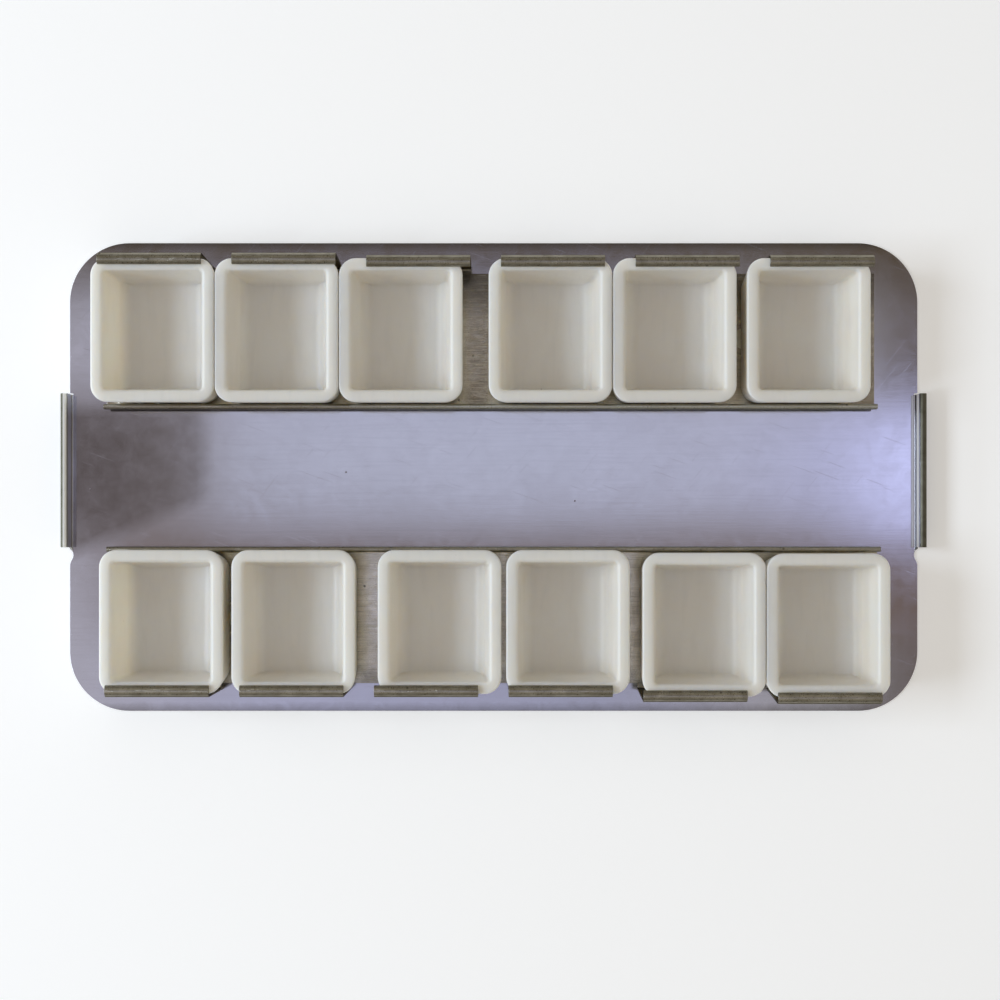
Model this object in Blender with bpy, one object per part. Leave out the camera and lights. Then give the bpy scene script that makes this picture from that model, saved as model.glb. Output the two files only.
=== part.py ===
"""Removable insert of a small watercolour tin: a tinplate base, two clip rails and twelve half pans.

World frame: +X runs along the two rows, +Y points to the rear row and +Z is up. The origin is the
middle of the base plate's underside, which is flat and rests on the floor of the tin. Each row is built
in its own frame, whose +Y points outwards, so the front row is the rear row turned by half a turn.
"""

import math

import bmesh
import bpy
from mathutils import Matrix, Vector

MM = 0.001

# Sheet metal
SHEET = 0.30 * MM  # thickness of the tinplate
SEAM = 0.05 * MM  # clearance left between pieces that touch

# Base plate, with an upturned ear on each end
PLATE_LENGTH = 114.0 * MM
PLATE_WIDTH = 62.9 * MM
PLATE_CORNER = 8.0 * MM
EAR_LENGTH = 20.5 * MM
EAR_Y = 0.8 * MM  # the ears sit a little behind the middle
EAR_BEND = 0.35 * MM  # inner radius
EAR_STRAIGHT = 2.35 * MM  # height of the upright stretch
EAR_BEAD = 0.48 * MM  # outer radius of the rolled top
EAR_BEAD_TURN = math.radians(240)
EAR_FILLET = 1.1 * MM  # radius of the sheet's edge at the ear's front end
EAR_SLIT = 0.2 * MM  # width of the slit at each end of the ear

# Rows
ROW_Y = {"rear": 18.55 * MM, "front": -18.95 * MM}
ROW_X = {"rear": -0.4 * MM, "front": 0.0}
ROW_TURN = {"rear": 0.0, "front": math.pi}

# Clip rail
RAIL_LENGTH = 103.0 * MM
RAIL_Z = SHEET + SEAM
WALL_INSIDE = -8.91 * MM  # pan side of the low inner wall
WALL_BEND = 0.15 * MM
WALL_STRAIGHT = 2.1 * MM
HEM_RADIUS = 0.34 * MM
HEM_SKIRT = 0.9 * MM
CLIP_COUNT = 6
CLIP_PITCH = 17.34 * MM
CLIP_WIDTH = 13.4 * MM
CLIP_SHIFT = {"rear": -0.6 * MM, "front": 0.0}  # of a row's clips from the middle of their rail
CLIP_INSIDE = 9.45 * MM  # pan side of the spring clips
CLIP_LEAN = {  # how far each clip stands pushed outwards, left to right
    "rear": [math.radians(angle) for angle in (1.9, 1.9, 0, 0, 0, 0)],
    "front": [math.radians(angle) for angle in (0, 0, 0, 0, 4.0, 5.6)],
}
CLIP_BEND = 0.35 * MM
CLIP_STUB = 0.5 * MM  # upright stretch of the rail below each clip
SLOT_DEPTH = 0.35 * MM  # how far the slots between the clips cut into the rail's floor
CURL_RADIUS = 0.82 * MM
CURL_TURN = math.radians(155)
CURL_CLEARANCE = 0.07 * MM  # from the curl's tip to the rim under it

# Half pan
PAN_WIDTH = 15.90 * MM
PAN_LENGTH = 18.65 * MM
PAN_HEIGHT = 10.0 * MM
PAN_CORNER = 2.2 * MM
PAN_TAPER = (0.5 * MM, 0.6 * MM)  # how far each side and each end draw in at the foot
RIM_WIDTH = 1.6 * MM
RIM_ROUND = 0.35 * MM
WELL_CORNER = 0.6 * MM
WELL_TAPER = 0.76 * MM
WELL_FILLET = 0.45 * MM
FLOOR = 1.4 * MM
FOOT_ROUND = 0.3 * MM
PAN_Z = RAIL_Z + SHEET + SEAM

# Where each pan has been pushed to along its row, left to right, and outwards from its row's middle line
PAN_X = {
    "rear": [x * MM for x in (-44.02, -27.99, -11.96, 7.36, 23.39, 40.69)],
    "front": [x * MM for x in (-42.90, -25.83, -6.95, 9.62, 27.20, 43.23)],
}
PAN_OUT = {
    "rear": [y * MM for y in (0.10, 0.07, 0.07, 0.07, 0.07, 0.07)],
    "front": [y * MM for y in (0.07, 0.07, 0.07, 0.07, 0.42, 0.52)],
}

# Flush rivets through rail and plate
RIVET_OFFSET = 34.1 * MM  # each side of the rail's middle
RIVET_HEAD = 2.45 * MM  # radius
RIVET_SHANK = 1.50 * MM  # radius
RIVET_DIMPLE = 1.30 * MM  # radius
HEAD_DEPTH = 0.15 * MM  # of the seat sunk into the rail
DIMPLE_DEPTH = 0.08 * MM
RIVET_SIDES = 24

CLIP_ROOT_Y = CLIP_INSIDE + SHEET
CLIP_ROOT_Z = RAIL_Z + SHEET + CLIP_BEND + CLIP_STUB + SEAM
X_AXIS, Y_AXIS, Z_AXIS = Vector((1, 0, 0)), Vector((0, 1, 0)), Vector((0, 0, 1))


# Modelling helpers


def clear_scene():
    for item in list(bpy.data.objects):
        bpy.data.objects.remove(item, do_unlink=True)


def new_material(name, colour, roughness, metallic):
    material = bpy.data.materials.new(name)
    material.use_nodes = True
    shader = material.node_tree.nodes["Principled BSDF"]
    shader.inputs["Base Color"].default_value = (*colour, 1)
    shader.inputs["Roughness"].default_value = roughness
    shader.inputs["Metallic"].default_value = metallic
    material.diffuse_color = (*colour, 1)
    return material


def mesh_from(bm, name, material):
    bmesh.ops.recalc_face_normals(bm, faces=bm.faces)
    mesh = bpy.data.meshes.new(name)
    bm.to_mesh(mesh)
    bm.free()
    mesh.shade_smooth()
    mesh.set_sharp_from_angle(angle=math.radians(35))
    if material:
        mesh.materials.append(material)
    return mesh


def place(name, mesh, location=(0, 0, 0), parent=None):
    item = bpy.data.objects.new(name, mesh)
    item.location = location
    item.parent = parent
    bpy.context.scene.collection.objects.link(item)
    return item


def arc(centre, radius, start, end, steps):
    """Points along an arc, both ends included. Angles are in degrees."""
    angles = [math.radians(start + (end - start) * i / steps) for i in range(steps + 1)]
    return [(centre[0] + radius * math.cos(a), centre[1] + radius * math.sin(a)) for a in angles]


def sheet_blank(outline):
    """A flat blank of sheet metal, cut to the outline."""
    bm = bmesh.new()
    face = bm.faces.new([bm.verts.new((x, y, 0)) for x, y in outline])
    draw_out(bm, face, SHEET * Z_AXIS, keep=True)
    return bm


def draw_out(bm, face, offset, keep=False):
    """Extrudes a face by the offset and returns the face at the far end. keep leaves the first in place."""
    made = bmesh.ops.extrude_face_region(bm, geom=[face])["geom"]
    moved = next(item for item in made if isinstance(item, bmesh.types.BMFace))
    bmesh.ops.translate(bm, verts=moved.verts, vec=offset)
    if not keep:
        bmesh.ops.delete(bm, geom=[face], context="FACES_ONLY")
    return moved


def bend(bm, face, centre, axis, angle, steps):
    """Rolls the sheet on from a face, round an axis through centre, and returns its new end face."""
    turn = Matrix.Rotation(angle / steps, 3, axis)
    for _ in range(steps):
        face = draw_out(bm, face, (0, 0, 0))
        bmesh.ops.rotate(bm, verts=face.verts, cent=centre, matrix=turn)
    return face


def edge_face(bm, point):
    """The blank's edge face whose middle is nearest to a point."""
    return min(bm.faces, key=lambda face: (face.calc_center_median() - Vector(point)).length)


def rounded_rectangle(width, length, radius, z, steps):
    """One ring of points, counter-clockwise from +X, as (x, y, z)."""
    ring = []
    for quarter, (sx, sy) in enumerate([(1, 1), (-1, 1), (-1, -1), (1, -1)]):
        centre = (sx * (width / 2 - radius), sy * (length / 2 - radius))
        ring += arc(centre, radius, 90 * quarter, 90 * quarter + 90, steps)
    return [(x, y, z) for x, y in ring]


def loft(rings):
    """A closed solid through rings with equal numbers of points, capped at both ends."""
    bm = bmesh.new()
    loops = [[bm.verts.new(point) for point in ring] for ring in rings]
    for below, above in zip(loops, loops[1:]):
        for i in range(len(below)):
            j = (i + 1) % len(below)
            bm.faces.new((below[i], below[j], above[j], above[i]))
    bm.faces.new(reversed(loops[0]))
    bm.faces.new(loops[-1])
    return bm


def turned(profile):
    """A solid of revolution about Z. The profile's (radius, z) points start and end on the axis."""
    steps = [2 * math.pi * i / RIVET_SIDES for i in range(RIVET_SIDES)]
    return loft(
        [[(r * math.cos(a), r * math.sin(a), z) for a in steps] for r, z in profile]
    )


# Base plate


def plate_outline():
    """Rounded rectangle, stepped in to the bend line where the ears turn up."""
    half_x, half_y = PLATE_LENGTH / 2, PLATE_WIDTH / 2
    bend_x = half_x - SHEET - EAR_BEND
    front, rear = EAR_Y - EAR_LENGTH / 2 - EAR_FILLET, EAR_Y + EAR_LENGTH / 2
    corner_x, corner_y = half_x - PLATE_CORNER, half_y - PLATE_CORNER
    right = arc((corner_x, -corner_y), PLATE_CORNER, -90, 0, 8)
    right += [(half_x, front - EAR_SLIT), (bend_x, front - EAR_SLIT), (bend_x, front)]
    right += [(bend_x, rear), (bend_x, rear + EAR_SLIT), (half_x, rear + EAR_SLIT)]
    right += arc((corner_x, corner_y), PLATE_CORNER, 0, 90, 8)
    return right + [(-x, y) for x, y in reversed(right)]


def fillet_width(rise):
    """How much wider the ear's front end is than its top, this far along the sheet from the bend line."""
    below = max(EAR_FILLET - rise, 0)
    return EAR_FILLET - math.sqrt(EAR_FILLET**2 - below**2)


def follow_fillet(face, rise):
    """Moves the front end of the ear's newest face on to the fillet."""
    lowest = min(vert.co.y for vert in face.verts)
    for vert in face.verts:
        if vert.co.y < lowest + SHEET / 2:
            vert.co.y = EAR_Y - EAR_LENGTH / 2 - fillet_width(rise)


def turn_up_ear(bm, side):
    """Bends one ear up at the plate's end and rolls its top outwards. side is +1 or -1."""
    bend_x = side * (PLATE_LENGTH / 2 - SHEET - EAR_BEND)
    face = edge_face(bm, (bend_x, EAR_Y - EAR_FILLET / 2, SHEET / 2))
    upright = (bend_x, EAR_Y, SHEET + EAR_BEND)
    steps = 4
    quarter = math.pi / 2 * (EAR_BEND + SHEET / 2)
    for step in range(1, steps + 1):
        face = bend(bm, face, upright, Y_AXIS, -side * math.pi / 2 / steps, 1)
        follow_fillet(face, quarter * step / steps)
    rest = EAR_FILLET - quarter
    face = draw_out(bm, face, rest * Z_AXIS)
    follow_fillet(face, EAR_FILLET)
    face = draw_out(bm, face, (EAR_STRAIGHT - rest) * Z_AXIS)
    bead_x = side * (PLATE_LENGTH / 2 - SHEET + EAR_BEAD)
    bead = (bead_x, EAR_Y, SHEET + EAR_BEND + EAR_STRAIGHT)
    bend(bm, face, bead, Y_AXIS, side * EAR_BEAD_TURN, 10)


def base_plate_mesh(material):
    bm = sheet_blank(plate_outline())
    turn_up_ear(bm, 1)
    turn_up_ear(bm, -1)
    return mesh_from(bm, "base_plate", material)


# Clip rail


def clip_centres(row):
    """Each clip's place along its rail, in the row's own frame, but listed from the world's left to right."""
    facing = math.cos(ROW_TURN[row])
    places = [CLIP_SHIFT[row] + (i - (CLIP_COUNT - 1) / 2) * CLIP_PITCH for i in range(CLIP_COUNT)]
    return [facing * x for x in places]


def rail_outline(row):
    """The rail's floor: straight along the inner wall, and toothed where the clips rise."""
    end = RAIL_LENGTH / 2
    wall_y = WALL_INSIDE + WALL_BEND
    clip_y = CLIP_INSIDE - CLIP_BEND
    slot_y = clip_y - SLOT_DEPTH
    outline = [(-end, wall_y), (end, wall_y), (end, slot_y)]
    for centre in sorted(clip_centres(row), reverse=True):
        left, right = centre - CLIP_WIDTH / 2, centre + CLIP_WIDTH / 2
        outline += [(right, slot_y), (right, clip_y), (left, clip_y), (left, slot_y)]
    return outline + [(-end, slot_y)]


def turn_up_wall(bm):
    """The low inner wall, with its top hemmed over towards the middle of the insert."""
    wall_y = WALL_INSIDE + WALL_BEND
    face = edge_face(bm, (0, wall_y, SHEET / 2))
    face = bend(bm, face, (0, wall_y, SHEET + WALL_BEND), X_AXIS, -math.pi / 2, 3)
    face = draw_out(bm, face, WALL_STRAIGHT * Z_AXIS)
    hem = (0, WALL_INSIDE - HEM_RADIUS, SHEET + WALL_BEND + WALL_STRAIGHT)
    face = bend(bm, face, hem, X_AXIS, math.pi, 6)
    draw_out(bm, face, -HEM_SKIRT * Z_AXIS)


def turn_up_stub(bm, centre):
    """The bend and the short upright stretch that one clip stands on."""
    clip_y = CLIP_INSIDE - CLIP_BEND
    face = edge_face(bm, (centre, clip_y, SHEET / 2))
    face = bend(bm, face, (centre, clip_y, SHEET + CLIP_BEND), X_AXIS, math.pi / 2, 4)
    draw_out(bm, face, CLIP_STUB * Z_AXIS)


def rail_mesh(row, material):
    bm = sheet_blank(rail_outline(row))
    turn_up_wall(bm)
    for centre in clip_centres(row):
        turn_up_stub(bm, centre)
    bmesh.ops.translate(bm, verts=bm.verts, vec=RAIL_Z * Z_AXIS)
    return mesh_from(bm, f"{row}_rail", material)


def clip_mesh(material):
    """An upright blade with its top curled inwards. The origin is the outer edge of its root."""
    rim_z = PAN_Z + PAN_HEIGHT
    tip = (CURL_RADIUS - SHEET) * math.sin(CURL_TURN)
    curl_z = rim_z + CURL_CLEARANCE - tip - CLIP_ROOT_Z
    half = CLIP_WIDTH / 2
    root = [(half, -SHEET, 0), (half, 0, 0), (-half, 0, 0), (-half, -SHEET, 0)]
    bm = bmesh.new()
    foot = bm.faces.new([bm.verts.new(point) for point in root])
    face = draw_out(bm, foot, curl_z * Z_AXIS, keep=True)
    bend(bm, face, (0, -CURL_RADIUS, curl_z), X_AXIS, CURL_TURN, 8)
    return mesh_from(bm, "clip", material)


# Half pan


def pan_rings():
    """From the foot up the outside, over the rim and down the well to its floor."""
    steps = 4
    rings = []

    def outside(z, inset):
        side, end = (taper * (1 - z / PAN_HEIGHT) + inset for taper in PAN_TAPER)
        size = (PAN_WIDTH - 2 * side, PAN_LENGTH - 2 * end)
        rings.append(rounded_rectangle(*size, PAN_CORNER - inset, z, steps))

    def inside(z, inset):
        drop = (PAN_HEIGHT - z) / (PAN_HEIGHT - FLOOR)
        side = RIM_WIDTH + WELL_TAPER * drop + inset
        size = (PAN_WIDTH - 2 * side, PAN_LENGTH - 2 * side)
        rings.append(rounded_rectangle(*size, WELL_CORNER - inset, z, steps))

    outside(0, FOOT_ROUND)
    outside(FOOT_ROUND, 0)
    outside(PAN_HEIGHT - RIM_ROUND, 0)
    shoulder = RIM_ROUND * (1 - math.sqrt(0.5))
    outside(PAN_HEIGHT - shoulder, shoulder)
    outside(PAN_HEIGHT, RIM_ROUND)
    inside(PAN_HEIGHT, -RIM_ROUND)
    inside(PAN_HEIGHT - shoulder, -shoulder)
    inside(PAN_HEIGHT - RIM_ROUND, 0)
    inside(FLOOR + WELL_FILLET, 0)
    fillet = WELL_FILLET * (1 - math.sqrt(0.5))
    inside(FLOOR + fillet, fillet)
    inside(FLOOR, WELL_FILLET)
    return rings


def pan_mesh(material):
    return mesh_from(loft(pan_rings()), "half_pan", material)


# Rivets


def rivet_mesh(material):
    top = RAIL_Z + SHEET
    seat = top - HEAD_DEPTH + SEAM
    profile = [
        (RIVET_SHANK, 0),
        (RIVET_SHANK, seat),
        (RIVET_HEAD, seat),
        (RIVET_HEAD, top),
        (RIVET_DIMPLE + DIMPLE_DEPTH, top),
        (RIVET_DIMPLE, top - DIMPLE_DEPTH),
    ]
    return mesh_from(turned(profile), "rivet", material)


def rivet_cutter_mesh():
    """The stepped hole that a rivet needs through the plate and the rail."""
    past = SHEET
    seat = RAIL_Z + SHEET - HEAD_DEPTH
    profile = [
        (RIVET_SHANK + SEAM, -past),
        (RIVET_SHANK + SEAM, seat),
        (RIVET_HEAD + SEAM, seat),
        (RIVET_HEAD + SEAM, RAIL_Z + SHEET + past),
    ]
    return mesh_from(turned(profile), "rivet_cutter", None)


def drill(item, cutter):
    hole = item.modifiers.new("hole", "BOOLEAN")
    hole.operation = "DIFFERENCE"
    hole.solver = "EXACT"
    hole.object = cutter


# Assembly


def build_row(row, plate, meshes, sheet):
    """One rail with its clips, pans and rivets, all in the row's own frame."""
    frame = place(f"{row}_row", None, (ROW_X[row], ROW_Y[row], 0))
    frame.rotation_euler.z = ROW_TURN[row]
    facing = math.cos(ROW_TURN[row])
    rail = place(f"{row}_rail", rail_mesh(row, sheet), parent=frame)

    for number, centre in enumerate(clip_centres(row), 1):
        location = (centre, CLIP_ROOT_Y, CLIP_ROOT_Z)
        clip = place(f"{row}_clip_{number}", meshes["clip"], location, frame)
        clip.rotation_euler.x = -CLIP_LEAN[row][number - 1]

    for number, (x, out) in enumerate(zip(PAN_X[row], PAN_OUT[row]), 1):
        location = (facing * (x - ROW_X[row]), out, PAN_Z)
        place(f"{row}_pan_{number}", meshes["pan"], location, frame)

    for side, offset in (("left", -RIVET_OFFSET), ("right", RIVET_OFFSET)):
        location = (facing * offset, 0, 0)
        place(f"{row}_rivet_{side}", meshes["rivet"], location, frame)
        cutter = place(f"{row}_rivet_cutter_{side}", meshes["cutter"], location, frame)
        cutter.hide_render = True
        cutter.display_type = "WIRE"
        drill(rail, cutter)
        drill(plate, cutter)


def main():
    clear_scene()
    tinplate = new_material("tinplate", (0.42, 0.41, 0.42), 0.28, 1.0)
    spring_tin = new_material("spring_tin", (0.36, 0.35, 0.33), 0.30, 1.0)
    rivet_metal = new_material("rivet_metal", (0.45, 0.44, 0.42), 0.35, 1.0)
    white_plastic = new_material("white_plastic", (0.80, 0.79, 0.76), 0.35, 0.0)
    meshes = {
        "clip": clip_mesh(spring_tin),
        "pan": pan_mesh(white_plastic),
        "rivet": rivet_mesh(rivet_metal),
        "cutter": rivet_cutter_mesh(),
    }
    plate = place("base_plate", base_plate_mesh(tinplate))
    for row in ("rear", "front"):
        build_row(row, plate, meshes, spring_tin)


main()
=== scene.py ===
"""Looks of the removable insert of a small watercolour tin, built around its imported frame.

World frame: +X runs along the two rows of pans, +Y points to the rear row and +Z is up, in metres.
Pieces of a row are made in the row's own frame, whose +Y points outwards from the insert's middle.
"""

import math

import bmesh
import bpy
from mathutils import Matrix, Vector


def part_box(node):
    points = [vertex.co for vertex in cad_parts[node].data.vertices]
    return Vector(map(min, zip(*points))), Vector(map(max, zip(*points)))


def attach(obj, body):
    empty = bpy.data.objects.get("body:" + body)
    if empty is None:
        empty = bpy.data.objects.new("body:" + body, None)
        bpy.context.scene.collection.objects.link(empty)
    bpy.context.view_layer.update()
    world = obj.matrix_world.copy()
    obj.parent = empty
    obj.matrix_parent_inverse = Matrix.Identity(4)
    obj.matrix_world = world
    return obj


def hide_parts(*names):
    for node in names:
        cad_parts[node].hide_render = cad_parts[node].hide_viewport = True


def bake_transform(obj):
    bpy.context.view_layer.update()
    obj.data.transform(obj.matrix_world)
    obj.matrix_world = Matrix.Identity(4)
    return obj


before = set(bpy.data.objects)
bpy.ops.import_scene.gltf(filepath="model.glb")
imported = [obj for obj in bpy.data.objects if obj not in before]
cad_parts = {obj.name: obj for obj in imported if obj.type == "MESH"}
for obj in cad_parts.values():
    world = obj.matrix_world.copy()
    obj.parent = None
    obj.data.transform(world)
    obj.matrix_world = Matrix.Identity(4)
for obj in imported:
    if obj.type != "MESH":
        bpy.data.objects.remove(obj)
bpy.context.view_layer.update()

MM = 0.001
X_AXIS, Y_AXIS, Z_AXIS = Vector((1, 0, 0)), Vector((0, 1, 0)), Vector((0, 0, 1))

# Sheet metal
SHEET = 0.30 * MM
EDGE_ROUND = 0.045 * MM  # wear on the sheared edges

# Base plate
PLATE_CORNER = 8.0 * MM
EAR_LENGTH = 20.5 * MM
EAR_Y = 0.8 * MM
EAR_BEND = 0.15 * MM
EAR_STRAIGHT = 2.35 * MM
EAR_BEAD = 0.48 * MM
EAR_BEAD_TURN = math.radians(240)
EAR_FILLET = 1.1 * MM
EAR_SLIT = 0.2 * MM
EAR_RUN_IN = 1.3 * MM  # length over which the plate narrows to the bend line, in front of an ear
RUN_IN_STEPS = 8

# Clip rail
WALL_INSIDE = -8.91 * MM
WALL_BEND = 0.15 * MM
WALL_STRAIGHT = 2.1 * MM
HEM_RADIUS = 0.34 * MM
HEM_SKIRT = 0.9 * MM
CLIP_INSIDE = 9.45 * MM
CLIP_BEND = 0.35 * MM
SLOT_DEPTH = 0.35 * MM
CURL_RADIUS = 0.82 * MM
CURL_TURN = math.radians(155)
CURL_CLEARANCE = 0.07 * MM
ROOT_BEND = 1.2 * MM  # height over which a clip takes up its lean

# Half pan
PAN_SPREAD = 0.055 * MM  # how far each side of the moulded rim stands out past the solid's
PAN_TAPER = (0.5 * MM, 0.6 * MM)
PAN_CORNER = 2.2 * MM
RIM_WIDTH = 1.6 * MM
RIM_ROUND_OUT = 0.24 * MM
RIM_ROUND_IN = 0.46 * MM
WELL_CORNER = 0.45 * MM
WELL_TAPER = 0.76 * MM  # of the two long walls
END_TAPER = 0.3 * MM
WELL_FILLET = 1.5 * MM  # along the two long walls
END_FILLET = 0.4  # of the fillet along the long walls
PAN_FLOOR = 1.4 * MM
FOOT_ROUND = 0.3 * MM
FOOT_RECESS = 0.35 * MM
FOOT_WALL = 1.2 * MM
FOOT_CHAMFER = 0.1 * MM

# Rivets
RIVET_SHANK = 1.5 * MM
RIVET_PROUD = 0.02 * MM
RIVET_LIP = 0.1 * MM
RIVET_HEAD = 2.45 * MM
RIVET_GROOVE = 0.30 * MM
RIVET_DIMPLE = 1.95 * MM
RIVET_SIDES = 48

# Where the painted shade and highlights, and the soiling, are, in millimetres of the world frame.
# Each goes from none at its first value to all at its second.
# Painted shade: a brown mottled patch over the left end of the trough.
SHADE_PATCH_RIGHT = (-36.6, -39.4)
SHADE_PATCH_SLOPE = 0.42
SHADE_PATCH_FRONT = (12.6, 15.2)  # along y, less the slope times x
SHADE_PATCH_REAR = (10.5, 8.0)
SHADE_PATCH_FADE = (-50, -38)  # this one goes from all to less
EDGE_DIRT = (30.6, 32.0)
EAR_FOOT = (0.31, 0.345)
BEND_TOP = (0.45, 0.75)
# Where the ears' painted highlight and painted shade lie.
HIGHLIGHT_FROM = (56.75, 56.87)  # out from the middle, and the next one too
OUTER_SHADE_FROM = (57.20, 57.27)
RIGHT_EAR_SHIFT = 0.5  # how much further in both start at the right ear
WALL_HIGHLIGHT_FROM = (1.10, 1.40)
WALL_HIGHLIGHT_TO = (2.45, 2.65)
RAIL_FLOOR_TOP = (0.8, 1.5)
# Painted shade on the rails' floors towards the clips.
RAIL_OUTER = (25.0, 26.4)
REAR_SHADE = (20.5, 24.5)
HEM_SIDE = (9.8, 9.3)
# Painted light and shade along the hems, dark at the left and pale at the right.
HEM_SHADING_ACROSS = (-28, -5)
CURL_FOOT = (7.0, 9.0)
GROOVE_DEPTH = (0.60, 0.46)
EDGE_TINT = (0.30, 0.28, 0.25, 1)  # dulls the spring tin's glancing reflections

# Camera
CAMERA_AT = (0.85 * MM, -7.8 * MM, 250 * MM)
CAMERA_LENS = 66.84
CAMERA_SHIFT = 0.035

# Room: how far off straight up the ceiling's edges are, as slopes (x/z along the rows, y/z across)
CEILING_SPAN = (-0.30, 0.30)
BAND_FRONT = (-0.006, 0.014)
BAND_REAR = (0.084, 0.070)
BEAM_REAR = (0.010, -0.004)
BEAM_FRONT = (-0.06, -0.05)
BEAM_LEFT = (-0.22, -0.20)
DARK_REAR = (0.126, 0.142)
CEILING_EDGE = (0.90, 0.94)  # height of a direction of length 1


# Mesh helpers


def arc(centre, radius, start, end, steps):
    """Points along an arc, both ends included. Angles are in degrees."""
    angles = [math.radians(start + (end - start) * i / steps) for i in range(steps + 1)]
    return [(centre[0] + radius * math.cos(a), centre[1] + radius * math.sin(a)) for a in angles]


def sheet_blank(outline):
    """A flat blank of sheet metal, cut to the outline."""
    bm = bmesh.new()
    face = bm.faces.new([bm.verts.new((x, y, 0)) for x, y in outline])
    draw_out(bm, face, SHEET * Z_AXIS, keep=True)
    return bm


def draw_out(bm, face, offset, keep=False):
    """Extrudes a face by the offset and returns its far end. keep leaves the first face there."""
    made = bmesh.ops.extrude_face_region(bm, geom=[face])["geom"]
    moved = next(item for item in made if isinstance(item, bmesh.types.BMFace))
    bmesh.ops.translate(bm, verts=moved.verts, vec=offset)
    if not keep:
        bmesh.ops.delete(bm, geom=[face], context="FACES_ONLY")
    return moved


def bend(bm, face, centre, axis, angle, steps):
    """Rolls the sheet on from a face, round an axis through centre. Returns the new end face."""
    turn = Matrix.Rotation(angle / steps, 3, axis)
    for _ in range(steps):
        face = draw_out(bm, face, (0, 0, 0))
        bmesh.ops.rotate(bm, verts=face.verts, cent=centre, matrix=turn)
    return face


def edge_face(bm, point):
    """The blank's edge face whose middle is nearest to a point."""
    return min(bm.faces, key=lambda face: (face.calc_center_median() - Vector(point)).length)


def rounded_rectangle(width, length, radius, z, steps):
    """One ring of points, counter-clockwise from +X, as (x, y, z)."""
    ring = []
    for quarter, (sx, sy) in enumerate([(1, 1), (-1, 1), (-1, -1), (1, -1)]):
        centre = (sx * (width / 2 - radius), sy * (length / 2 - radius))
        ring += arc(centre, radius, 90 * quarter, 90 * quarter + 90, steps)
    return [(x, y, z) for x, y in ring]


def loft(rings):
    """A closed surface through rings with equal numbers of points, capped at both ends."""
    bm = bmesh.new()
    loops = [[bm.verts.new(point) for point in ring] for ring in rings]
    for below, above in zip(loops, loops[1:]):
        for i in range(len(below)):
            j = (i + 1) % len(below)
            bm.faces.new((below[i], below[j], above[j], above[i]))
    bm.faces.new(reversed(loops[0]))
    bm.faces.new(loops[-1])
    return bm


def piece(name, bm, matrix, material, sharp=40):
    """A new object from the mesh, set in place in the world frame."""
    bmesh.ops.recalc_face_normals(bm, faces=bm.faces)
    bmesh.ops.transform(bm, matrix=matrix, verts=bm.verts)
    mesh = bpy.data.meshes.new(name)
    bm.to_mesh(mesh)
    bm.free()
    mesh.shade_smooth()
    mesh.set_sharp_from_angle(angle=math.radians(sharp))
    mesh.materials.append(material)
    item = bpy.data.objects.new(name, mesh)
    bpy.context.scene.collection.objects.link(item)
    return item


def round_edges(item, width):
    """Rounds the sheared edges of a piece of sheet metal."""
    bevel = item.modifiers.new("worn edges", "BEVEL")
    bevel.width = width
    bevel.segments = 2
    bevel.limit_method = "ANGLE"
    bevel.angle_limit = math.radians(50)
    bevel.harden_normals = True


# Material helpers


def add(tree, kind, inputs=None, **settings):
    """A new shader node. Inputs are values, or the sockets that feed them."""
    node = tree.nodes.new("ShaderNode" + kind)
    for name, value in settings.items():
        setattr(node, name, value)
    for name, value in (inputs or {}).items():
        if isinstance(value, bpy.types.NodeSocket):
            tree.links.new(value, node.inputs[name])
        else:
            node.inputs[name].default_value = value
    return node


def new_material(name):
    material = bpy.data.materials.new(name)
    material.use_nodes = True
    tree = material.node_tree
    tree.nodes.clear()
    shader = add(tree, "BsdfPrincipled")
    output = add(tree, "OutputMaterial", {"Surface": shader.outputs[0]})
    output.is_active_output = True
    return material, tree, shader


def millimetres(tree):
    """The point on the surface, in the object's own frame, in millimetres."""
    place = add(tree, "TexCoord").outputs["Object"]
    return add(tree, "VectorMath", {0: place, "Scale": 1 / MM}, operation="SCALE").outputs[0]


def stretched(tree, vector, scale, turn=0.0):
    """The vector turned about Z and then scaled along each axis."""
    rotated = add(tree, "Mapping", {"Vector": vector, "Rotation": (0, 0, turn)}).outputs[0]
    return add(tree, "Mapping", {"Vector": rotated, "Scale": scale}).outputs[0]


def noise(tree, vector, scale, detail=2.0, roughness=0.5, distortion=0.0):
    inputs = {"Vector": vector, "Scale": scale, "Detail": detail}
    inputs |= {"Roughness": roughness, "Distortion": distortion}
    return add(tree, "TexNoise", inputs).outputs[0]


def remap(tree, value, low, high, to_low=0.0, to_high=1.0):
    """The value moved from one range to another, and held there."""
    inputs = {"Value": value, "From Min": low, "From Max": high}
    inputs |= {"To Min": to_low, "To Max": to_high}
    return add(tree, "MapRange", inputs).outputs[0]


def maths(tree, operation, first, second):
    return add(tree, "Math", {0: first, 1: second}, operation=operation).outputs[0]


def product(tree, value, *more):
    for factor in more:
        value = maths(tree, "MULTIPLY", value, factor)
    return value


def largest(tree, value, *more):
    for other in more:
        value = maths(tree, "MAXIMUM", value, other)
    return value


def absolute(tree, value):
    return maths(tree, "ABSOLUTE", value, 0.0)


def opposite(tree, mask):
    """1 where the mask is 0, and 0 where it is 1."""
    return maths(tree, "SUBTRACT", 1.0, mask)


def parts(tree, vector):
    """The vector's X, Y and Z, by name."""
    return add(tree, "SeparateXYZ", {0: vector}).outputs


def mixed(tree, factor, first, second):
    """Two colours mixed by a factor. A colour is a socket, or red, green and blue."""
    node = add(tree, "Mix", data_type="RGBA")
    tree.links.new(factor, node.inputs[0])
    for socket, colour in ((6, first), (7, second)):
        if isinstance(colour, bpy.types.NodeSocket):
            tree.links.new(colour, node.inputs[socket])
        else:
            node.inputs[socket].default_value = (*colour, 1)
    return node.outputs[2]


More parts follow.
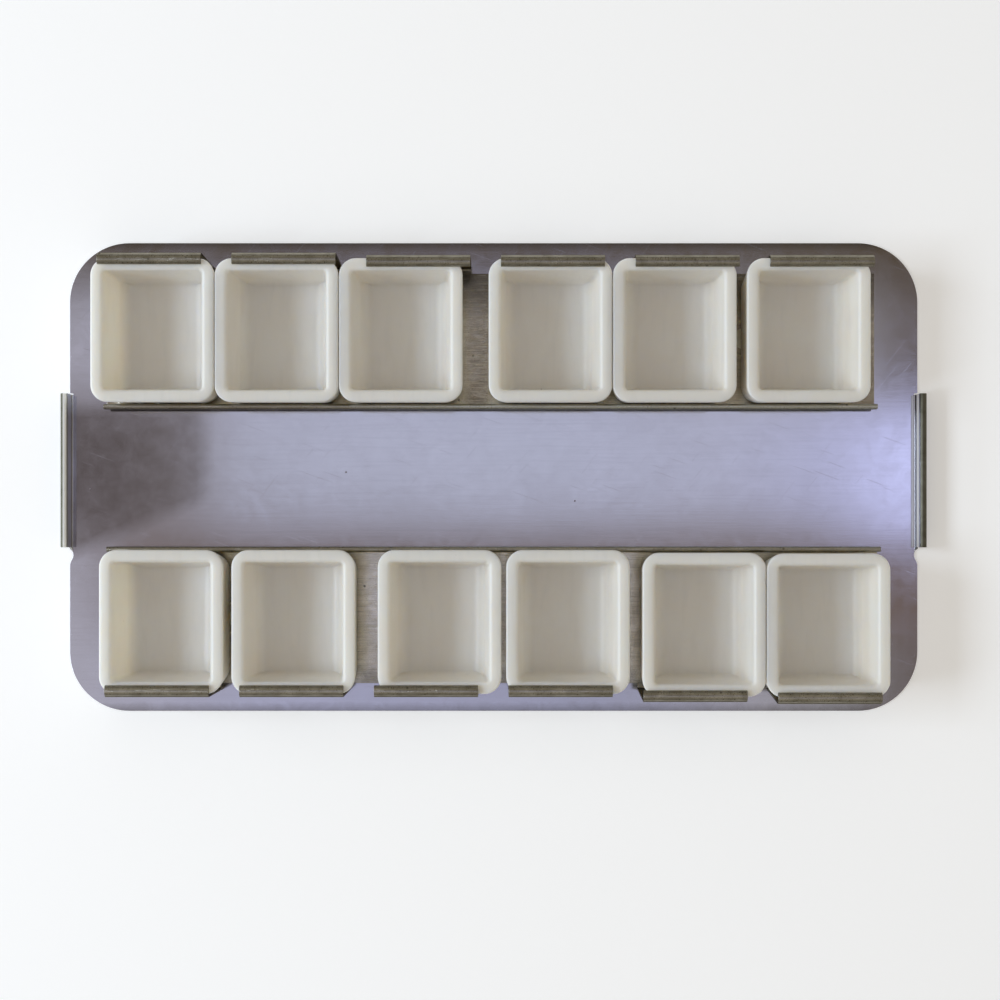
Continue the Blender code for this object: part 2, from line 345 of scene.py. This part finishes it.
def relief(tree, shader, layers):
    """Stacks bumps on the shader. A layer is a height and how far it stands out, in millimetres."""
    normal = None
    for height, depth in layers:
        inputs = {"Height": height, "Distance": depth * MM, "Strength": 1.0}
        if normal:
            inputs["Normal"] = normal
        normal = add(tree, "Bump", inputs).outputs[0]
    tree.links.new(normal, shader.inputs["Normal"])


def roughen(tree, shader, rough, masks):
    """Sets the roughness. Each mask comes with how much it adds."""
    for mask, amount in masks:
        rough = maths(tree, "ADD", rough, maths(tree, "MULTIPLY", mask, amount))
    tree.links.new(rough, shader.inputs["Roughness"])


def streaks(tree, vector, turn, length, width, amount):
    """Sparse thin scratches in one direction: 1 on a scratch and 0 off it."""
    lines = noise(tree, stretched(tree, vector, (1 / length, 1 / width, 1 / width), turn), 1.0, 1.0)
    return remap(tree, lines, 1 - amount, 1 - amount + 0.04)


def specks(tree, vector, spacing, size, amount):
    """Small round spots in some cells of a grid: 1 on a spot and 0 off it."""
    cells = add(tree, "TexVoronoi", {"Vector": vector, "Scale": 1 / spacing})
    spot = remap(tree, cells.outputs["Distance"], size / spacing, 0.4 * size / spacing)
    chosen = add(tree, "SeparateColor", {0: cells.outputs["Color"]}).outputs[0]
    return maths(tree, "MULTIPLY", spot, maths(tree, "LESS_THAN", chosen, amount))


# Materials


def painted_shade_patch(tree, place):
    """How much painted shade, brown and mottled, lies over the left end of the trough.

    It is mottled and darker near the ear, with a straight right edge and a slanted front one.
    """
    wobble = maths(tree, "MULTIPLY", noise(tree, place, 0.5, 3.0), 1.4)
    axes = parts(tree, place)
    x = maths(tree, "ADD", axes["X"], wobble)
    y = maths(tree, "ADD", axes["Y"], wobble)
    slant = maths(tree, "SUBTRACT", y, maths(tree, "MULTIPLY", x, SHADE_PATCH_SLOPE))
    return product(
        tree,
        remap(tree, x, *SHADE_PATCH_RIGHT),
        remap(tree, slant, *SHADE_PATCH_FRONT),
        remap(tree, axes["Y"], *SHADE_PATCH_REAR),
        remap(tree, axes["X"], *SHADE_PATCH_FADE, 1.0, 0.78),
        remap(tree, noise(tree, place, 0.4, 3.0, 0.55, 0.4), 0.3, 0.7, 0.52, 0.74),
    )


def ear_highlight_and_shade(tree, axes, patchy):
    """The ears' colour, with masks of the painted shade on their outer side and of a painted
    highlight.

    The highlight runs along the inner side of the left bead, and along the wall under the right
    one.
    Painted shade darkens the rest of the right ear, most at the bend.
    """
    right = remap(tree, axes["X"], -1, 1)
    shift = maths(tree, "MULTIPLY", right, RIGHT_EAR_SHIFT)
    reach = maths(tree, "ADD", absolute(tree, axes["X"]), shift)
    outer = remap(tree, reach, *OUTER_SHADE_FROM)
    under_bead = maths(tree, "MULTIPLY", right, remap(tree, axes["Z"], *WALL_HIGHLIGHT_TO))
    line = product(
        tree,
        remap(tree, reach, *HIGHLIGHT_FROM),
        remap(tree, axes["Z"], *WALL_HIGHLIGHT_FROM),
        opposite(tree, under_bead),
    )
    # Painted highlight, pale and patchy, along the ears' inner side.
    highlight_colour = mixed(tree, patchy, (0.90, 0.90, 0.87), (0.98, 0.98, 0.95))
    # Painted shade on the beads' outer side.
    outer_shade_colour = mixed(tree, patchy, (0.10, 0.095, 0.070), (0.18, 0.172, 0.135))
    above_bend = remap(tree, axes["Z"], *BEND_TOP)
    # Painted shade on the right ear's wall, darkest at the bend.
    shade = mixed(tree, above_bend, (0.045, 0.045, 0.057), (0.17, 0.17, 0.22))
    dull = mixed(tree, right, (0.40, 0.40, 0.38), shade)
    colour = mixed(tree, outer, mixed(tree, line, dull, highlight_colour), outer_shade_colour)
    return colour, outer, line


def tinplate():
    """Bright rolled tinplate with a soft mottle, handling marks and a few fine scratches, painted
    shade at the trough's left end and a painted highlight and shade on the ears.
    """
    material, tree, shader = new_material("tinplate")
    place = millimetres(tree)
    mottle = noise(tree, place, 0.11, 4.0, 0.55, 0.6)
    smudge = noise(tree, place, 0.35, 5.0, 0.6, 1.2)
    grain = noise(tree, stretched(tree, place, (0.10, 4.0, 4.0)), 1.0, 2.0)
    fine = noise(tree, place, 6.0, 2.0)
    scratch = largest(
        tree,
        streaks(tree, place, 0.35, 9.0, 0.10, 0.27),
        streaks(tree, place, -0.9, 6.0, 0.09, 0.26),
    )
    spot = specks(tree, place, 3.4, 0.16, 0.22)
    axes = parts(tree, place)
    ragged = maths(tree, "ADD", absolute(tree, axes["Y"]), maths(tree, "MULTIPLY", smudge, 0.8))
    edge_dirt = remap(tree, ragged, *EDGE_DIRT, 0.0, 0.7)
    ear = remap(tree, axes["Z"], *EAR_FOOT)

    colour = mixed(tree, remap(tree, mottle, 0.35, 0.65), (0.61, 0.61, 0.66), (0.635, 0.635, 0.69))
    colour = mixed(tree, remap(tree, grain, 0.45, 0.75, 0.0, 0.12), colour, (0.46, 0.45, 0.49))
    colour = mixed(tree, remap(tree, scratch, 0, 1, 0, 0.12), colour, (0.80, 0.80, 0.84))
    colour = mixed(tree, remap(tree, spot, 0, 1, 0, 0.65), colour, (0.12, 0.10, 0.09))
    # Painted shade over the trough's left end.
    colour = mixed(tree, painted_shade_patch(tree, place), colour, (0.22, 0.19, 0.175))
    colour = mixed(tree, edge_dirt, colour, (0.20, 0.185, 0.175))
    ear_colour, outer, line = ear_highlight_and_shade(tree, axes, remap(tree, smudge, 0.3, 0.7))
    colour = mixed(tree, ear, colour, ear_colour)
    tree.links.new(colour, shader.inputs["Base Color"])

    # The painted highlight is made less metallic, so that its pale colour shows.
    line = product(tree, ear, line, opposite(tree, outer))
    metal = maths(tree, "SUBTRACT", 1.0, maths(tree, "MULTIPLY", line, 0.7))
    tree.links.new(metal, shader.inputs["Metallic"])

    rough = remap(tree, smudge, 0.3, 0.7, 0.08, 0.115)
    ear_rough = remap(tree, outer, 0, 1, 0.20, 0.42)
    roughen(tree, shader, rough, [(ear, ear_rough), (scratch, 0.03), (spot, 0.3)])
    waves = noise(tree, place, 0.06, 1.0)
    relief(tree, shader, [(waves, 0.008), (grain, 0.0003), (fine, 0.0006), (scratch, -0.0006)])
    return material


def clip_shade_lines(tree, axes):
    """Painted shade as dark lines on the clips' curls, along the bend, tip and crown, with dark
    lines across both ends.
    """
    facing = parts(tree, add(tree, "TexCoord").outputs["Normal"])
    outwards = maths(tree, "MULTIPLY", facing["Y"], maths(tree, "SIGN", axes["Y"], 0.0))
    at_bend = maths(
        tree,
        "MULTIPLY",
        remap(tree, outwards, 0.62, 0.85),
        remap(tree, axes["Y"], 1, -1, 0.2, 0.8),
    )
    at_crown = maths(
        tree,
        "MULTIPLY",
        remap(tree, absolute(tree, outwards), 0.5, 0.1),
        remap(tree, axes["Y"], -1, 1, 0.0, 0.3),
    )
    at_tip = remap(tree, outwards, -0.45, -0.85, 0.0, 0.4)
    at_ends = remap(tree, absolute(tree, facing["X"]), 0.4, 0.8, 0.0, 0.8)
    curl_darkening = largest(tree, at_bend, at_tip, at_ends, at_crown)
    return maths(tree, "MULTIPLY", curl_darkening, remap(tree, axes["Z"], *CURL_FOOT))


def spring_tin():
    """Tinplate of the rails and clips, brushed along the rows.

    Painted light makes it brighter low down, under the pans, and painted shade darkens the floor
    towards the clips, most on the rear rail.
    """
    material, tree, shader = new_material("spring_tin")
    place = millimetres(tree)
    mottle = noise(tree, place, 0.45, 5.0, 0.6, 0.8)
    brushed = noise(tree, stretched(tree, place, (0.25, 9.0, 9.0)), 1.0, 4.0, 0.6)
    fine = noise(tree, place, 5.0, 3.0, 0.6)
    scratch = largest(
        tree,
        streaks(tree, place, 0.04, 4.0, 0.07, 0.33),
        streaks(tree, place, -0.10, 2.5, 0.06, 0.31),
    )
    spot = specks(tree, place, 1.6, 0.22, 0.35)
    axes = parts(tree, place)
    from_middle = absolute(tree, axes["Y"])
    upright = remap(tree, axes["Z"], *RAIL_FLOOR_TOP)
    # Painted shade on the floor's outer ends, between the clips' roots: they take the uprights'
    # darker tone.
    outer = remap(tree, from_middle, *RAIL_OUTER, 0.0, 0.8)
    hem = maths(tree, "MULTIPLY", upright, remap(tree, from_middle, *HEM_SIDE, 0.0, 0.7))
    # Painted shade, mottled, over the rear rail's floor towards the clips.
    rear_shade = product(
        tree,
        remap(tree, axes["Y"], *REAR_SHADE),
        remap(tree, mottle, 0.25, 0.6, 0.45, 0.8),
        opposite(tree, upright),
    )

    spread = remap(tree, mottle, 0.35, 0.65)
    # Painted light from the white pans: the floor takes this lighter copy of the uprights' tone.
    lit_floor_tone = mixed(tree, spread, (0.64, 0.60, 0.49), (0.82, 0.78, 0.67))
    worn = mixed(tree, spread, (0.33, 0.31, 0.25), (0.50, 0.475, 0.40))
    # Painted light and shade along the hem: dark at its left end, pale at its right.
    hem_shading = mixed(tree, remap(tree, axes["X"], *HEM_SHADING_ACROSS), (0.36, 0.33, 0.30), (0.70, 0.73, 0.70))
    colour = mixed(tree, largest(tree, upright, outer), lit_floor_tone, worn)
    # Painted shade on the rear rail's floor.
    colour = mixed(tree, rear_shade, colour, (0.12, 0.10, 0.062))
    colour = mixed(tree, hem, colour, hem_shading)
    # Painted shade on the clips' curls.
    colour = mixed(tree, clip_shade_lines(tree, axes), colour, (0.07, 0.062, 0.045))
    colour = mixed(tree, remap(tree, brushed, 0.45, 0.7, 0.0, 0.5), colour, (0.24, 0.22, 0.17))
    colour = mixed(tree, remap(tree, scratch, 0, 1, 0, 0.5), colour, (0.62, 0.60, 0.55))
    colour = mixed(tree, remap(tree, spot, 0, 1, 0, 0.7), colour, (0.09, 0.075, 0.055))
    tree.links.new(colour, shader.inputs["Base Color"])
    shader.inputs["Metallic"].default_value = 1.0
    shader.inputs["Specular Tint"].default_value = EDGE_TINT

    rough = remap(tree, fine, 0.3, 0.7, 0.15, 0.26)
    roughen(tree, shader, rough, [(upright, 0.10), (spot, 0.25)])
    dents = noise(tree, place, 0.35, 2.0)
    relief(tree, shader, [(dents, 0.03), (brushed, 0.006), (fine, 0.003), (scratch, -0.004)])
    return material


def rivet_metal():
    """Pressed rivet metal, dull and a little yellowed, with a dark deposit low in the groove."""
    material, tree, shader = new_material("rivet_metal")
    place = millimetres(tree)
    mottle = noise(tree, place, 1.2, 5.0, 0.6, 0.5)
    fine = noise(tree, place, 7.0, 3.0)
    groove = remap(tree, parts(tree, place)["Z"], *GROOVE_DEPTH)
    colour = mixed(tree, remap(tree, mottle, 0.3, 0.7), (0.62, 0.60, 0.42), (0.80, 0.78, 0.58))
    colour = mixed(tree, groove, colour, (0.06, 0.05, 0.035))
    tree.links.new(colour, shader.inputs["Base Color"])
    tree.links.new(remap(tree, fine, 0.3, 0.7, 0.28, 0.45), shader.inputs["Roughness"])
    shader.inputs["Metallic"].default_value = 1.0
    relief(tree, shader, [(mottle, 0.01), (fine, 0.003)])
    return material


def white_plastic():
    """Satin white moulded plastic with faint flow marks, a fine grain and the odd speck."""
    material, tree, shader = new_material("white_plastic")
    place = millimetres(tree)
    cloud = noise(tree, place, 0.13, 3.0, 0.5, 0.4)
    grain = noise(tree, place, 3.2, 3.0, 0.6)
    flow = noise(tree, stretched(tree, place, (0.9, 0.15, 0.4)), 1.0, 3.0, 0.5, 0.5)
    scratch = streaks(tree, place, 1.1, 3.5, 0.05, 0.25)
    spot = specks(tree, place, 5.5, 0.13, 0.16)

    cloudy = remap(tree, cloud, 0.35, 0.65)
    colour = mixed(tree, cloudy, (0.92, 0.868, 0.794), (0.945, 0.898, 0.830))
    colour = mixed(tree, remap(tree, flow, 0.5, 0.8, 0.0, 0.25), colour, (0.75, 0.735, 0.69))
    colour = mixed(tree, remap(tree, spot, 0, 1, 0, 0.55), colour, (0.30, 0.26, 0.20))
    tree.links.new(colour, shader.inputs["Base Color"])
    shader.inputs["IOR"].default_value = 1.49
    shader.inputs["Subsurface Weight"].default_value = 1.0
    shader.inputs["Subsurface Radius"].default_value = (1.0, 0.93, 0.80)
    shader.inputs["Subsurface Scale"].default_value = 2.0 * MM

    roughen(tree, shader, remap(tree, grain, 0.3, 0.7, 0.36, 0.44), [(scratch, 0.12)])
    relief(tree, shader, [(cloud, 0.04), (grain, 0.002), (scratch, -0.003)])
    return material


# Base plate


def ear_front(rise):
    """Where the ear's front end is, this far along the sheet from the bend line."""
    below = max(EAR_FILLET - rise, 0)
    return EAR_Y - EAR_LENGTH / 2 - EAR_FILLET + math.sqrt(EAR_FILLET**2 - below**2)


def plate_outline(half_x, half_y):
    """Rounded rectangle, stepped in to the bend line where the ears turn up."""
    bend_x = half_x - SHEET - EAR_BEND
    front, rear = ear_front(0), EAR_Y + EAR_LENGTH / 2
    corner_x, corner_y = half_x - PLATE_CORNER, half_y - PLATE_CORNER
    right = arc((corner_x, -corner_y), PLATE_CORNER, -90, 0, 20)
    for step in range(RUN_IN_STEPS + 1):
        part = step / RUN_IN_STEPS
        narrowed = (half_x - bend_x) * part**2 * (3 - 2 * part)
        right.append((half_x - narrowed, front - EAR_RUN_IN * (1 - part)))
    right += [(bend_x, rear), (bend_x, rear + EAR_SLIT), (half_x, rear + EAR_SLIT)]
    right += arc((corner_x, corner_y), PLATE_CORNER, 0, 90, 20)
    return right + [(-x, y) for x, y in reversed(right)]


def follow_fillet(face, rise):
    """Moves the front end of the ear's newest face on to the fillet."""
    lowest = min(vert.co.y for vert in face.verts)
    for vert in face.verts:
        if vert.co.y < lowest + SHEET / 2:
            vert.co.y = ear_front(rise)


def turn_up_ear(bm, side, half_x):
    """Bends one ear up at the plate's end and rolls its top outwards. side is +1 or -1."""
    bend_x = side * (half_x - SHEET - EAR_BEND)
    face = edge_face(bm, (bend_x, EAR_Y - EAR_FILLET / 2, SHEET / 2))
    upright = (bend_x, EAR_Y, SHEET + EAR_BEND)
    steps = 8
    quarter = math.pi / 2 * (EAR_BEND + SHEET / 2)
    for step in range(1, steps + 1):
        face = bend(bm, face, upright, Y_AXIS, -side * math.pi / 2 / steps, 1)
        follow_fillet(face, quarter * step / steps)
    rest = EAR_FILLET - quarter
    for step in range(1, 4):
        face = draw_out(bm, face, rest / 3 * Z_AXIS)
        follow_fillet(face, quarter + rest * step / 3)
    face = draw_out(bm, face, (EAR_STRAIGHT - rest) * Z_AXIS)
    bead = (side * (half_x - SHEET + EAR_BEAD), EAR_Y, SHEET + EAR_BEND + EAR_STRAIGHT)
    bend(bm, face, bead, Y_AXIS, side * EAR_BEAD_TURN, 22)


def make_plate(material):
    low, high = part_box("base_plate")
    half_x = high.x - (2 * EAR_BEAD - SHEET)
    bm = sheet_blank(plate_outline(half_x, high.y))
    turn_up_ear(bm, 1, half_x)
    turn_up_ear(bm, -1, half_x)
    plate = piece("base_sheet", bm, Matrix.Translation((0, 0, low.z)), material)
    round_edges(plate, EDGE_ROUND)
    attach(plate, "tray")
    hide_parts("base_plate")


# Rows


class Row:
    """One rail with its clips, pans and rivets. matrix takes its own frame to the world frame."""

    def __init__(self, name, facing):
        self.name = name
        low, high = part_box(f"{name}_rail")
        outer = high.y if facing > 0 else low.y
        self.y = outer - facing * (CLIP_INSIDE + SHEET)
        self.x = (low.x + high.x) / 2
        self.floor = low.z
        self.length = high.x - low.x
        turn = Matrix.Rotation(0 if facing > 0 else math.pi, 4, "Z")
        self.matrix = Matrix.Translation((self.x, self.y, 0)) @ turn

    def own(self, node):
        """The node's box, in the row's own frame."""
        ends = [self.matrix.inverted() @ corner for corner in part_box(node)]
        low = Vector(min(a, b) for a, b in zip(*ends))
        high = Vector(max(a, b) for a, b in zip(*ends))
        return low, high


def make_rail(row, material):
    """Floor and low hemmed inner wall. Its outer edge is at the foot of the slots between clips."""
    end = row.length / 2
    wall_y = WALL_INSIDE + WALL_BEND
    slot_y = CLIP_INSIDE - CLIP_BEND - SLOT_DEPTH
    bm = sheet_blank([(-end, wall_y), (end, wall_y), (end, slot_y), (-end, slot_y)])
    face = edge_face(bm, (0, wall_y, SHEET / 2))
    face = bend(bm, face, (0, wall_y, SHEET + WALL_BEND), X_AXIS, -math.pi / 2, 6)
    face = draw_out(bm, face, WALL_STRAIGHT * Z_AXIS)
    hem = (0, WALL_INSIDE - HEM_RADIUS, SHEET + WALL_BEND + WALL_STRAIGHT)
    face = bend(bm, face, hem, X_AXIS, math.pi, 14)
    draw_out(bm, face, -HEM_SKIRT * Z_AXIS)
    matrix = row.matrix @ Matrix.Translation((0, 0, row.floor))
    rail = piece(f"{row.name}_rail_strip", bm, matrix, material)
    round_edges(rail, EDGE_ROUND)
    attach(rail, "tray")
    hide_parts(f"{row.name}_rail")


def lean_out(bm, root, lean):
    """Bends a clip outwards round its root, whose own-frame point is given, by an angle."""
    for vert in bm.verts:
        height = vert.co.z - root.z
        if height > 0:
            turn = Matrix.Rotation(-lean * min(height / ROOT_BEND, 1), 3, "X")
            vert.co = root + turn @ (vert.co - root)


def make_clip(row, number, material):
    """One spring clip, from the rail's floor up over the rim of its pan."""
    node = f"{row.name}_clip_{number}"
    low, high = row.own(node)
    rim_z = row.own(f"{row.name}_pan_{number}")[1].z
    clip_y = CLIP_INSIDE - CLIP_BEND
    foot_y = clip_y - SLOT_DEPTH
    bm = sheet_blank([(low.x, foot_y), (high.x, foot_y), (high.x, clip_y), (low.x, clip_y)])
    face = edge_face(bm, ((low.x + high.x) / 2, clip_y, SHEET / 2))
    face = bend(bm, face, (0, clip_y, SHEET + CLIP_BEND), X_AXIS, math.pi / 2, 8)
    tip_drop = (CURL_RADIUS - SHEET) * math.sin(CURL_TURN)
    curl_z = rim_z + CURL_CLEARANCE - tip_drop - row.floor
    risers = 8
    for _ in range(risers):
        face = draw_out(bm, face, (curl_z - SHEET - CLIP_BEND) / risers * Z_AXIS)
    bend(bm, face, (0, CLIP_INSIDE + SHEET - CURL_RADIUS, curl_z), X_AXIS, CURL_TURN, 16)
    root = Vector((0, CLIP_INSIDE + SHEET, low.z - row.floor))
    lean_out(bm, root, math.asin((high.y - root.y) / (curl_z - root.z)))
    matrix = row.matrix @ Matrix.Translation((0, 0, row.floor))
    clip = piece(f"{node}_strip", bm, matrix, material)
    round_edges(clip, EDGE_ROUND)
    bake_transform(clip)
    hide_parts(node)


def pan_rings(width, length, height):
    """From the recess under the foot up the outside, over the rim and down to the well's floor."""
    corner_steps = 10
    rings = []

    def ring(side, end, radius, z):
        rings.append(rounded_rectangle(width - 2 * side, length - 2 * end, radius, z, corner_steps))

    def outside(z, inset):
        side, end = (taper * (1 - z / height) + inset for taper in PAN_TAPER)
        ring(side, end, PAN_CORNER - inset, z)

    def inside(z, inset):
        drop = (height - z) / (height - PAN_FLOOR)
        side = RIM_WIDTH + WELL_TAPER * drop + inset
        end = RIM_WIDTH + END_TAPER * drop + (END_FILLET * inset if inset > 0 else inset)
        ring(side, end, WELL_CORNER - min(inset, 0.9 * WELL_CORNER), z)

    outside(FOOT_RECESS, FOOT_WALL + FOOT_CHAMFER)
    outside(FOOT_CHAMFER, FOOT_WALL)
    outside(0, FOOT_WALL - FOOT_CHAMFER)
    for angle in (0, 30, 60, 90):
        turn = math.radians(angle)
        outside(FOOT_ROUND * (1 - math.cos(turn)), FOOT_ROUND * (1 - math.sin(turn)))
    for angle in range(0, 91, 15):
        turn = math.radians(angle)
        outside(height - RIM_ROUND_OUT * (1 - math.sin(turn)), RIM_ROUND_OUT * (1 - math.cos(turn)))
    for angle in range(90, -1, -15):
        turn = math.radians(angle)
        inside(height - RIM_ROUND_IN * (1 - math.sin(turn)), -RIM_ROUND_IN * (1 - math.cos(turn)))
    for angle in range(0, 91, 18):
        turn = math.radians(angle)
        inside(PAN_FLOOR + WELL_FILLET * (1 - math.sin(turn)), WELL_FILLET * (1 - math.cos(turn)))
    return rings


def make_pan(row, number, material):
    node = f"{row.name}_pan_{number}"
    low, high = row.own(node)
    size = high - low
    middle = (low + high) / 2
    bm = loft(pan_rings(size.x + 2 * PAN_SPREAD, size.y, size.z))
    matrix = row.matrix @ Matrix.Translation((middle.x, middle.y, low.z))
    pan = piece(f"{node}_moulding", bm, matrix, material, 60)
    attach(pan, f"{node}_body")
    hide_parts(node)


def make_rivet(row, side, material):
    """Flush head with a pressed groove round a slightly raised middle."""
    node = f"{row.name}_rivet_{side}"
    low, high = row.own(node)
    middle = (low + high) / 2
    top = high.z + RIVET_PROUD
    profile = [
        (0.4 * RIVET_SHANK, low.z),
        (RIVET_SHANK, low.z),
        (RIVET_SHANK, high.z - RIVET_LIP),
        (RIVET_HEAD, high.z - RIVET_LIP),
        (RIVET_HEAD, top),
        (RIVET_DIMPLE + RIVET_GROOVE, top),
        (RIVET_DIMPLE + 0.7 * RIVET_GROOVE, top - 0.12 * MM),
        (RIVET_DIMPLE, top - 0.2 * MM),
        (RIVET_DIMPLE - 0.25 * RIVET_GROOVE, top - 0.05 * MM),
        (1.2 * MM, top),
        (0.5 * MM, top - 0.01 * MM),
    ]
    turns = [2 * math.pi * i / RIVET_SIDES for i in range(RIVET_SIDES)]
    bm = loft([[(r * math.cos(a), r * math.sin(a), z) for a in turns] for r, z in profile])
    matrix = row.matrix @ Matrix.Translation((middle.x, middle.y, 0))
    rivet = piece(f"{node}_head", bm, matrix, material, 50)
    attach(rivet, "tray")
    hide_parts(node)


# Studio


def make_floor():
    """A plain pale surface under the insert."""
    bm = bmesh.new()
    bmesh.ops.create_circle(bm, cap_ends=True, radius=3.0, segments=64)
    material, tree, shader = new_material("pale_floor")
    shader.inputs["Base Color"].default_value = (0.93, 0.93, 0.93, 1)
    shader.inputs["Roughness"].default_value = 0.9
    shader.inputs["Emission Color"].default_value = (1, 1, 1, 1)
    shader.inputs["Emission Strength"].default_value = 0.3
    floor = piece("floor", bm, Matrix.Translation((0, 0, -0.01 * MM)), material)


def gradient(tree, factor, stops):
    """A colour ramp through (position, colour) stops."""
    node = add(tree, "ValToRGB", {"Fac": factor})
    ramp = node.color_ramp
    while len(ramp.elements) > 1:
        ramp.elements.remove(ramp.elements[-1])
    for index, (position, colour) in enumerate(stops):
        element = ramp.elements[0] if index == 0 else ramp.elements.new(position)
        element.position = position
        element.color = (*colour, 1)
    return node.outputs["Color"]


def make_world():
    """Soft room light: a lilac white ceiling overhead, dark at its left end, in a dim warm room."""
    world = bpy.data.worlds.new("room")
    bpy.context.scene.world = world
    world.use_nodes = True
    tree = world.node_tree
    tree.nodes.clear()
    direction = add(tree, "TexCoord").outputs["Generated"]
    axes = parts(tree, direction)
    height = maths(tree, "MAXIMUM", axes["Z"], 0.02)
    across = maths(tree, "DIVIDE", axes["X"], height)
    along = maths(tree, "DIVIDE", axes["Y"], height)

    band = gradient(
        tree,
        remap(tree, across, *CEILING_SPAN),
        [
            (0.08, (0.34, 0.31, 0.32)),
            (0.14, (0.22, 0.19, 0.19)),
            (0.22, (0.36, 0.33, 0.33)),
            (0.27, (0.64, 0.66, 0.78)),
            (0.50, (0.68, 0.71, 0.85)),
            (0.70, (0.66, 0.68, 0.83)),
            (0.80, (0.69, 0.71, 0.96)),
            (0.87, (1.00, 1.04, 1.53)),
        ],
    )
    beside = gradient(
        tree,
        remap(tree, across, *CEILING_SPAN),
        [
            (0.10, (0.60, 0.58, 0.63)),
            (0.30, (0.58, 0.59, 0.76)),
            (0.60, (0.48, 0.49, 0.63)),
            (0.74, (0.50, 0.48, 0.50)),
            (0.82, (0.41, 0.395, 0.39)),
            (0.86, (0.16, 0.125, 0.105)),
        ],
    )
    skewed = maths(tree, "ADD", along, remap(tree, across, 0.17, 0.20, 0.0, 0.008))
    in_band = product(tree, remap(tree, skewed, *BAND_FRONT), remap(tree, skewed, *BAND_REAR))
    beam = product(
        tree,
        remap(tree, skewed, *BEAM_REAR),
        remap(tree, along, *BEAM_FRONT),
        remap(tree, across, *BEAM_LEFT),
    )
    ceiling = mixed(tree, in_band, beside, band)
    ceiling = mixed(tree, beam, ceiling, (0.21, 0.15, 0.115))
    ceiling = mixed(tree, remap(tree, along, *DARK_REAR), ceiling, (0.11, 0.08, 0.045))

    slope = add(tree, "VectorMath", {0: direction}, operation="NORMALIZE").outputs[0]
    up = parts(tree, slope)["Z"]
    room = gradient(
        tree,
        remap(tree, up, -0.1, 1.0),
        [
            (0.0, (0.80, 0.80, 0.79)),
            (0.13, (0.78, 0.77, 0.75)),
            (0.20, (0.22, 0.205, 0.18)),
            (0.35, (0.30, 0.28, 0.25)),
            (0.65, (0.52, 0.475, 0.385)),
            (0.9, (0.52, 0.47, 0.37)),
        ],
    )
    sideways = absolute(tree, parts(tree, slope)["Y"])
    room = mixed(tree, remap(tree, sideways, 0.25, 0.75, 0.0, 0.6), room, (0.10, 0.09, 0.08))
    sky = mixed(tree, remap(tree, up, *CEILING_EDGE), room, ceiling)
    background = add(tree, "Background", {"Color": sky, "Strength": 1.0})
    add(tree, "OutputWorld", {"Surface": background.outputs[0]})


def make_light(name, position, size, power, colour):
    """A soft rectangular light aimed at the middle of the insert."""
    light = bpy.data.lights.new(name, "AREA")
    light.shape = "RECTANGLE"
    light.size, light.size_y = size
    light.energy = power
    light.color = colour
    item = bpy.data.objects.new(name, light)
    item.location = position
    item.rotation_euler = (-Vector(position)).to_track_quat("-Z", "Y").to_euler()
    item.visible_camera = False
    bpy.context.scene.collection.objects.link(item)


def polar(distance, azimuth, elevation):
    """A point round the insert. Azimuth 0 is at +X and grows towards +Y. Angles are in degrees."""
    turn, rise = math.radians(azimuth), math.radians(elevation)
    flat = distance * math.cos(rise)
    return (flat * math.cos(turn), flat * math.sin(turn), distance * math.sin(rise))


def make_camera():
    """Straight overhead, close enough to show the outer walls of the end pans."""
    camera = bpy.data.cameras.new("camera")
    camera.sensor_width = 36.0
    camera.lens = CAMERA_LENS
    camera.shift_y = CAMERA_SHIFT
    item = bpy.data.objects.new("camera", camera)
    item.location = CAMERA_AT
    camera.clip_start, camera.clip_end = 0.01, 10
    bpy.context.scene.collection.objects.link(item)
    bpy.context.scene.camera = item


def main():
    bpy.context.scene.view_settings.view_transform = "Standard"
    tin, rivet, plastic = tinplate(), rivet_metal(), white_plastic()
    spring = spring_tin()
    make_plate(tin)
    for name, facing in (("rear", 1), ("front", -1)):
        row = Row(name, facing)
        make_rail(row, spring)
        for number in range(1, 7):
            make_clip(row, number, spring)
            make_pan(row, number, plastic)
        for side in ("left", "right"):
            make_rivet(row, side, rivet)
    make_floor()
    make_world()
    make_light("window", polar(0.7, 182, 40), (0.36, 0.18), 2.35, (0.75, 0.86, 1.0))
    make_light("low window", polar(0.7, 180, 20), (0.5, 0.09), 0.8, (0.74, 0.87, 1.0))
    make_camera()


main()
